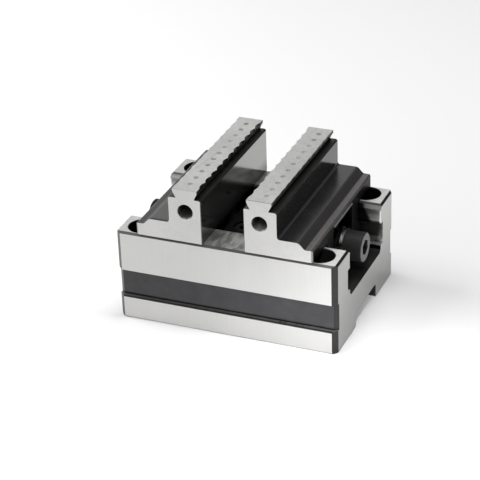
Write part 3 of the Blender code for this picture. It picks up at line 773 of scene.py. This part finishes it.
def add_tap(bm, x, z, mouth_y, inwards, pitch=1.0 * MM, root=2.78 * MM, crest=2.45 * MM):
    """A solid in the form of a tapped hole's inside, with its helical groove, along Y from mouth_y."""
    segments, per_turn = 32, 6
    rows = []
    depth = STOP_HOLE_DEPTH
    count = int(depth / pitch * per_turn)
    start = -0.6 * MM
    for k in range(count + 1):
        along = start + (depth - start) * k / count
        ring = []
        for i in range(segments):
            turn = i / segments
            phase = (along / pitch - turn) % 1.0
            wave = 1.0 - abs(2.0 * phase - 1.0)
            radius = crest + (root - crest) * min(1.0, 1.25 * wave)
            if along < 0.5 * MM:
                radius = max(radius, 2.80 * MM - max(along, -0.6 * MM) * 0.7)
            if along > depth - 1.2 * MM:
                radius = crest
            angle = 2 * math.pi * turn
            ring.append(
                bm.verts.new(
                    (
                        x + radius * math.cos(angle),
                        mouth_y + inwards * along,
                        z + radius * math.sin(angle),
                    )
                )
            )
        rows.append(ring)
    tip = bm.verts.new((x, mouth_y + inwards * (depth + 1.3 * MM), z))
    bm.faces.new(rows[0])
    for one, two in zip(rows, rows[1:]):
        for i in range(segments):
            j = (i + 1) % segments
            bm.faces.new((one[j], one[i], two[i], two[j]))
    for i in range(segments):
        j = (i + 1) % segments
        bm.faces.new((rows[-1][j], rows[-1][i], tip))


def make_jaw(name, side, body, cad_node, dimple_offset, scallop_sizes):
    def x(offset):
        return side * (GRIP_X + offset)

    bm = bmesh.new()
    add_prism(bm, [(x(a), b) for a, b in jaw_profile()], "Y", -JAW_HALF_WIDTH, JAW_HALF_WIDTH)
    jaw = place_mesh(name, bm)
    bevel(jaw, 0.10 * MM, 2)
    cutters = []

    bm = bmesh.new()
    guide = mirrored(
        [
            (GUIDE_FLANGE_HALF - 0.3 * MM, GUIDE_BOTTOM),
            (GUIDE_FLANGE_HALF, GUIDE_BOTTOM + 0.3 * MM),
            (GUIDE_FLANGE_HALF, GUIDE_FLANGE_TOP - 0.3 * MM),
            (GUIDE_FLANGE_HALF - 0.3 * MM, GUIDE_FLANGE_TOP),
            (GUIDE_NECK_HALF, GUIDE_FLANGE_TOP),
            (GUIDE_NECK_HALF, FOOT_TOP - 3 * MM),
        ]
    )
    low, high = sorted((x(GUIDE_START), x(FOOT_LENGTH - 0.02 * MM)))
    add_prism(bm, guide, "X", low, high)
    cutters.append(cut(jaw, place_mesh(name + "_guide", bm), "UNION"))

    bm = bmesh.new()
    low, high = sorted((x(FOOT_LENGTH - POCKET_DEPTH), x(FOOT_LENGTH + 2 * MM)))
    add_prism(
        bm,
        [
            (-POCKET_HALF, GUIDE_BOTTOM - MM),
            (POCKET_HALF, GUIDE_BOTTOM - MM),
            (POCKET_HALF, POCKET_TOP),
            (-POCKET_HALF, POCKET_TOP),
        ],
        "X",
        low,
        high,
    )
    cutters.append(cut(jaw, place_mesh(name + "_pocket", bm)))

    bm = bmesh.new()
    low, high = sorted((x(GUIDE_START - 2 * MM), x(FOOT_LENGTH - POCKET_DEPTH + 2 * MM)))
    add_turned(bm, [(low, NUT_BORE_RADIUS), (high, NUT_BORE_RADIUS)], 64, along_x(SCREW_Z))
    cutters.append(cut(jaw, place_mesh(name + "_bore", bm)))

    bm = bmesh.new()
    for edge, outwards, radius, depth, steps in (
        (STRIP_START, -1, *scallop_sizes[0], 16),
        (STRIP_END, 1, *scallop_sizes[1], 10),
    ):
        add_prism(
            bm,
            [(x(a), b) for a, b in scallops(edge, outwards, radius, depth, steps)],
            "Z",
            BLOCK_TOP + 0.2 * MM,
            STRIP_TOP + MM,
        )
    cutters.append(cut(jaw, place_mesh(name + "_scallops", bm)))

    bm = bmesh.new()
    for k in range(SCALLOP_COUNT):
        y = (k - (SCALLOP_COUNT - 1) / 2) * SCALLOP_PITCH
        over = 0.3 * MM
        slope = DIMPLE_RADIUS / DIMPLE_DEPTH
        add_turned(
            bm,
            [
                (STRIP_TOP - DIMPLE_DEPTH, 0.08 * MM),
                (STRIP_TOP + over, 0.08 * MM + (DIMPLE_DEPTH + over) * slope),
            ],
            24,
            along_z(x(dimple_offset), y),
        )
    for sy in (-1, 1):
        add_tap(bm, x(STOP_HOLE_OFFSET), STOP_HOLE_Z, sy * JAW_HALF_WIDTH, -sy)
    cutters.append(cut(jaw, place_mesh(name + "_holes", bm)))

    bm = bmesh.new()
    for sy in (-1, 1):
        y, edge = sy * JAW_HALF_WIDTH, 0.22 * MM
        add_prism(
            bm,
            [
                (x(-MM), y - sy * (edge + MM)),
                (x(-MM), y + sy * MM),
                (x(edge + MM), y + sy * MM),
            ],
            "Z",
            JAW_BOTTOM - MM,
            BLOCK_TOP - 0.6 * MM,
        )
        edge = FOOT_EDGE
        add_prism(
            bm,
            [
                (x(FOOT_LENGTH + MM), y - sy * (edge + MM)),
                (x(FOOT_LENGTH + MM), y + sy * MM),
                (x(FOOT_LENGTH - edge - MM), y + sy * MM),
            ],
            "Z",
            JAW_BOTTOM - MM,
            FOOT_TOP + MM,
        )
    cutters.append(cut(jaw, place_mesh(name + "_edges", bm)))

    bm = bmesh.new()
    lip = [
        (FOOT_LENGTH - 0.5 * MM, POCKET_TOP + 0.65 * MM),
        (FOOT_LENGTH, POCKET_TOP + 0.65 * MM),
        (FOOT_LENGTH + 0.35 * MM, POCKET_TOP + 0.3 * MM),
        (FOOT_LENGTH + 0.35 * MM, POCKET_TOP),
        (FOOT_LENGTH - 0.5 * MM, POCKET_TOP),
    ]
    add_prism(bm, [(x(a), b) for a, b in lip], "Y", -9.35 * MM, 9.35 * MM)
    cutters.append(cut(jaw, place_mesh(name + "_lip", bm), "UNION"))
    settle(jaw, cutters)

    hole_x = x(STOP_HOLE_OFFSET)

    def choose(n, c, _):
        in_hole = math.hypot(c.x - hole_x, c.z - STOP_HOLE_Z) < 3.1 * MM
        if abs(n.y) > 0.999 and abs(c.y) > 29.88 * MM:
            return 1
        if in_hole and 10 * MM < abs(c.y) < 29.89 * MM and abs(c.x - hole_x) < 3.1 * MM:
            return 3
        if n.z > 0.999 and c.z > STRIP_TOP - 0.02 * MM:
            return 2
        if c.z > BLOCK_TOP - 0.6 * MM:
            if abs(c.x - x(dimple_offset)) < 0.9 * MM and c.z > STRIP_TOP - 0.6 * MM:
                return 5
            return 4
        offset = side * c.x - GRIP_X
        if side * n.x < -0.999 and offset < 0.05 * MM:
            return 6
        if offset > FOOT_LENGTH + 0.05 * MM and side * n.x > 0.5 and n.z > 0.5:
            return 11
        if side * n.x > 0.999 and offset > FOOT_LENGTH - 0.05 * MM:
            return 9
        if offset > FOOT_LENGTH - FOOT_EDGE - 0.05 * MM and 0.6 < side * n.x < 0.8 and abs(n.y) > 0.6:
            return 12
        # From here on the left jaw's foot takes its copies with painted light and shade: the step darker, and the
        # flat, chamfer and rounding lighter.
        if offset > FOOT_LENGTH - FOOT_EDGE and 0.6 < side * n.x < 0.8 and n.z > 0.6:
            return 8 if side > 0 else 13
        if n.z > 0.97 and abs(c.z - STEP_TOP) < 0.15 * MM:
            return 8 if side > 0 else 13
        if n.z > 0.5 and c.z > STEP_TOP and offset > BLOCK_THICKNESS:
            if side < 0:
                if offset < FOOT_FLAT_END - MM or n.z > 0.97:
                    return 14
                return 15 if n.z > 0.72 else 10
            return 7
        return 0

    paint(
        jaw,
        [
            JAW_OXIDE,
            JAW_END,
            STRIP_FACE,
            TAP_STEEL_PAINTED_LIGHT,
            NOTCH_OXIDE,
            DIMPLE_OXIDE,
            GRIP_OXIDE,
            FOOT_OXIDE,
            STEP_OXIDE,
            JAW_BACK_OXIDE,
            LEFT_CHAMFER_PAINTED_LIGHT,
            LIP_STEEL,
            EDGE_GREY,
            LEFT_STEP_PAINTED_SHADE,
            LEFT_FOOT_PAINTED_LIGHT_AND_SHADE,
            LEFT_ROUND_PAINTED_LIGHT,
        ],
        choose,
    )
    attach(jaw, body)
    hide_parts(cad_node)
    return jaw


# ---------------------------------------------------------------- screw
def screw_radius(x, turn):
    """Radius of the screw at x and at a share of a turn, with a thread of each hand."""
    a = abs(x)
    if a >= THREAD_END:
        return JOURNAL_RADIUS
    if a <= NECK_HALF:
        return NECK_RADIUS
    phase = ((a / LEAD) + turn * (1 if x > 0 else -1) * -1) % 1.0
    # A trapezoid: crest, flank, root, flank.
    crest, flank = 0.37, 0.10
    if phase < crest:
        depth = 0.0
    elif phase < crest + flank:
        depth = (phase - crest) / flank
    elif phase < 1.0 - flank:
        depth = 1.0
    else:
        depth = (1.0 - phase) / flank
    radius = THREAD_RADIUS - (THREAD_RADIUS - THREAD_ROOT) * depth
    fade = min((THREAD_END - a) / (2.2 * MM), (a - NECK_HALF) / (2.2 * MM))
    if fade < 1.0:
        plain = JOURNAL_RADIUS if a > 20 * MM else THREAD_ROOT
        plain = min(plain, THREAD_RADIUS)
        radius = max(radius, THREAD_ROOT + (THREAD_RADIUS - THREAD_ROOT) * (1.0 - max(0.0, fade)))
        shoulder = min(THREAD_END - a, a - NECK_HALF)
        radius = min(radius, plain + shoulder * 1.0)
        radius = max(radius, plain) if a > 20 * MM else radius
    return radius


def make_screw():
    segments = 96
    step = 0.12 * MM
    stations = [SCREW_HALF_LENGTH, SCREW_HALF_LENGTH - 0.25 * MM]
    stations += [THREAD_END + 3.0 * MM, THREAD_END + 0.01 * MM]
    count = int((THREAD_END - NECK_HALF) / step)
    for k in range(count + 1):
        stations.append(THREAD_END - (THREAD_END - NECK_HALF) * k / count)
    stations += [2.0 * MM]
    xs = sorted([-s for s in stations] + stations)
    bm = bmesh.new()
    rings = []
    for x in xs:
        ring = []
        for i in range(segments):
            turn = i / segments
            radius = screw_radius(x, turn)
            if abs(x) > SCREW_HALF_LENGTH - 0.01 * MM:
                radius = JOURNAL_RADIUS - 0.25 * MM
            angle = 2 * math.pi * turn
            along = x + LEFT_END_CUT if x < -SCREW_HALF_LENGTH + MM else x
            ring.append(bm.verts.new((along, radius * math.cos(angle), SCREW_Z + radius * math.sin(angle))))
        rings.append(ring)
    bm.faces.new(rings[0])
    bm.faces.new(list(reversed(rings[-1])))
    for one, two in zip(rings, rings[1:]):
        for i in range(segments):
            j = (i + 1) % segments
            bm.faces.new((one[j], one[i], two[i], two[j]))
    screw = place_mesh("vise_screw", bm)
    cutters = []
    bm = bmesh.new()
    for side in (-1, 1):
        low, high = sorted((side * (SCREW_HALF_LENGTH - KEY_DEPTH), side * (SCREW_HALF_LENGTH + MM)))
        add_prism(
            bm,
            circle(KEY_ACROSS_FLATS / math.sqrt(3), (0.0, SCREW_Z), 6, math.pi / 2),
            "X",
            low,
            high,
        )
    cutters.append(cut(screw, place_mesh("cut_key_sockets", bm)))
    settle(screw, cutters)

    def choose(n, c, _):
        r = math.hypot(c.y, c.z - SCREW_Z)
        if c.x > SCREW_HALF_LENGTH - 0.05 * MM and n.x > 0.99:
            return 1
        around = math.degrees(math.atan2(c.z - SCREW_Z, -c.y))
        # The painted glint patch on the thread's last turn.
        if 31.3 * MM < abs(c.x) < 33.30 * MM and r > JOURNAL_RADIUS + 0.02 * MM and 20.0 < around < 95.0:
            return 2
        # Painted shade: the screw's left end takes the darkest oxide.
        return 3 if c.x < -33.5 * MM else 0

    paint(screw, [SCREW_OXIDE, RING, THREAD_PAINTED_GLINT, BEARING_OXIDE_AND_PAINTED_SHADE], choose, 35.0)
    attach(screw, "screw")
    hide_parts("lead_screw")
    return screw


make_base()
make_jaw("vise_jaw_left", -1, "left_jaw", "left_jaw", LEFT_DIMPLE_OFFSET, LEFT_SCALLOPS)
make_jaw("vise_jaw_right", 1, "right_jaw", "right_jaw", RIGHT_DIMPLE_OFFSET, RIGHT_SCALLOPS)
make_screw()

for node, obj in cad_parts.items():
    finish = {
        "bearing_block": BEARING_OXIDE_AND_PAINTED_SHADE,
        "bearing_cap": BEARING_OXIDE_AND_PAINTED_SHADE,
        "cap_screw_front": HARDWARE_OXIDE,
        "cap_screw_rear": HARDWARE_OXIDE,
        "block_screw_front": HARDWARE_OXIDE,
        "block_screw_rear": HARDWARE_OXIDE,
        "dowel_pin_front": PIN_STEEL,
        "dowel_pin_rear": PIN_STEEL,
    }.get(node)
    if finish:
        obj.data.materials.clear()
        obj.data.materials.append(finish)


# ---------------------------------------------------------------- floor, light, camera
STUDIO_GLOWS = ((225.0, 1.86), (270.0, 0.41), (315.0, 0.905), (0.0, 0.166), (45.0, 0.089), (90.0, 0.268))


def make_floor():
    bm = bmesh.new()
    size = 6.0
    corners = [bm.verts.new((a, b, -0.00005)) for a, b in ((-size, -size), (size, -size), (size, size), (-size, size))]
    bm.faces.new(corners)
    floor = place_mesh("floor", bm)
    n = Nodes("floor_white")
    soft = n.noise((0.002, 0.002, 0.002), 1.0, 2.0, 0.5)
    n.join(n.mix(n.spread(soft, 0.0, 1.0), (0.56, 0.56, 0.56), (0.58, 0.58, 0.58)), n.shader.inputs["Base Color"])
    n.join(n.mix(n.spread(soft, 0.0, 1.0), (0.99, 0.99, 0.99), (1.0, 1.0, 1.0)), n.shader.inputs["Emission Color"])
    tree = n.material.node_tree

    def math_node(operation, one, two=0.0):
        node = tree.nodes.new("ShaderNodeMath")
        node.operation = operation
        for socket, value in zip(node.inputs, (one, two)):
            if isinstance(value, (int, float)):
                socket.default_value = value
            else:
                tree.links.new(value, socket)
        return node.outputs[0]

    # Painted light and shadow: the floor glows a little, which lightens its shadows, and the glow is darkened close to
    # the base along its ends, most towards the front, as a painted shadow.
    place = tree.nodes.new("ShaderNodeTexCoord")
    split = tree.nodes.new("ShaderNodeSeparateXYZ")
    tree.links.new(place.outputs["Object"], split.inputs[0])
    away = []
    for axis, half, weight in (("X", BASE_LENGTH / 2, 1.0), ("Y", BASE_WIDTH / 2, 3.0)):
        beyond = math_node("SUBTRACT", math_node("ABSOLUTE", split.outputs[axis]), half)
        away.append(math_node("MULTIPLY", math_node("MAXIMUM", beyond, 0.0), 1000.0 * weight))
    distance = math_node("SQRT", math_node("ADD", math_node("POWER", away[0], 2.0), math_node("POWER", away[1], 2.0)))
    near = math_node("EXPONENT", math_node("MULTIPLY", distance, -1.0 / 8.0))
    along = tree.nodes.new("ShaderNodeMapRange")
    along.interpolation_type = "SMOOTHSTEP"
    along.inputs["From Min"].default_value = -0.030
    along.inputs["From Max"].default_value = 0.012
    along.inputs["To Min"].default_value = 0.75
    along.inputs["To Max"].default_value = 0.0
    tree.links.new(split.outputs["Y"], along.inputs["Value"])
    ends = tree.nodes.new("ShaderNodeMapRange")
    ends.interpolation_type = "SMOOTHSTEP"
    ends.inputs["From Min"].default_value = 0.034
    ends.inputs["From Max"].default_value = 0.041
    tree.links.new(math_node("ABSOLUTE", split.outputs["X"]), ends.inputs["Value"])
    near = math_node("MULTIPLY", near, ends.outputs["Result"])
    painted_glow = math_node("SUBTRACT", 1.0, math_node("MULTIPLY", near, along.outputs["Result"]))
    tree.links.new(math_node("MULTIPLY", painted_glow, 0.31), n.shader.inputs["Emission Strength"])
    n.set(Roughness=0.75)
    n.shader.inputs["Specular IOR Level"].default_value = 0.2
    floor.data.materials.append(n.material)


def area_light(name, place, target, size, power):
    data = bpy.data.lights.new(name, "AREA")
    data.shape = "RECTANGLE"
    data.size, data.size_y = size
    data.energy = power
    obj = bpy.data.objects.new(name, data)
    bpy.context.scene.collection.objects.link(obj)
    obj.location = place
    obj.rotation_mode = "QUATERNION"
    obj.rotation_quaternion = (Vector(target) - Vector(place)).to_track_quat("-Z", "Y")
    return obj


def spot_light(name, place, target, angle, power):
    data = bpy.data.lights.new(name, "SPOT")
    data.energy = power
    data.spot_size = math.radians(angle)
    data.spot_blend = 1.0
    data.shadow_soft_size = 0.03
    obj = bpy.data.objects.new(name, data)
    bpy.context.scene.collection.objects.link(obj)
    obj.location = place
    obj.rotation_mode = "QUATERNION"
    obj.rotation_quaternion = (Vector(target) - Vector(place)).to_track_quat("-Z", "Y")
    return obj


def glow(tree, azimuth, elevation, width, strength):
    """A soft round glow in the studio's walls. azimuth 0 is behind the vise and 90 is to its right."""
    a, e = math.radians(azimuth), math.radians(elevation)
    aim = (math.sin(a) * math.cos(e), math.cos(a) * math.cos(e), math.sin(e))
    place = tree.nodes.new("ShaderNodeTexCoord")
    unit = tree.nodes.new("ShaderNodeVectorMath")
    unit.operation = "NORMALIZE"
    tree.links.new(place.outputs["Generated"], unit.inputs[0])
    dot = tree.nodes.new("ShaderNodeVectorMath")
    dot.operation = "DOT_PRODUCT"
    dot.inputs[1].default_value = aim
    tree.links.new(unit.outputs[0], dot.inputs[0])
    value = dot.outputs["Value"]
    for operation, number in (("SUBTRACT", 1.0), ("MULTIPLY", width), ("EXPONENT", None), ("MULTIPLY", strength)):
        node = tree.nodes.new("ShaderNodeMath")
        node.operation = operation
        tree.links.new(value, node.inputs[0])
        if number is not None:
            node.inputs[1].default_value = number
        value = node.outputs[0]
    return value


def make_light():
    world = bpy.data.worlds.new("studio")
    world.use_nodes = True
    bpy.context.scene.world = world
    tree = world.node_tree
    background = tree.nodes["Background"]
    background.inputs["Color"].default_value = (1.0, 1.0, 1.0, 1.0)
    total = None
    for azimuth, strength in STUDIO_GLOWS:
        value = glow(tree, azimuth, 18.0, 7.0, strength)
        if total is not None:
            node = tree.nodes.new("ShaderNodeMath")
            tree.links.new(total, node.inputs[0])
            tree.links.new(value, node.inputs[1])
            value = node.outputs[0]
        total = value
    tree.links.new(total, background.inputs["Strength"])
    area_light("top_box", (0.0, 0.0, 0.8), (0.0, 0.0, 0.02), (0.4, 0.4), 2.46)
    area_light("left_box", (-0.5, 0.0, 0.5), (0.0, 0.0, 0.02), (0.3, 0.3), 3.66)
    area_light("front_box", (0.05, -0.45, 0.05), (0.0, 0.0, 0.02), (0.15, 0.1), 0.30)
    spot_light("front_pool", (0.14, -0.35, 0.40), (0.060, -0.075, 0.0), 17.0, 22.0)


def make_camera():
    data = bpy.data.cameras.new("camera")
    data.sensor_width = 36.0
    data.lens = 1851.903 / 480.0 * 36.0
    data.clip_start, data.clip_end = 0.02, 50.0
    obj = bpy.data.objects.new("camera", data)
    bpy.context.scene.collection.objects.link(obj)
    azimuth, elevation, roll = math.radians(23.084), math.radians(28.365), math.radians(-2.029)
    back = Vector(
        (
            math.sin(azimuth) * math.cos(elevation),
            -math.cos(azimuth) * math.cos(elevation),
            math.sin(elevation),
        )
    )
    right = Vector((0.92595, 0.37637, -0.03116)).normalized()
    right = (right - back * right.dot(back)).normalized()
    up = back.cross(right)
    turn = Matrix((right, up, back)).transposed().to_4x4()
    obj.matrix_world = Matrix.Translation((0.21792456, -0.52661322, 0.32950881)) @ turn
    bpy.context.scene.camera = obj


make_floor()
make_light()
make_camera()
bpy.context.scene.view_settings.view_transform = "Standard"
bpy.context.scene.view_settings.look = "None"

bpy.context.view_layer.update()
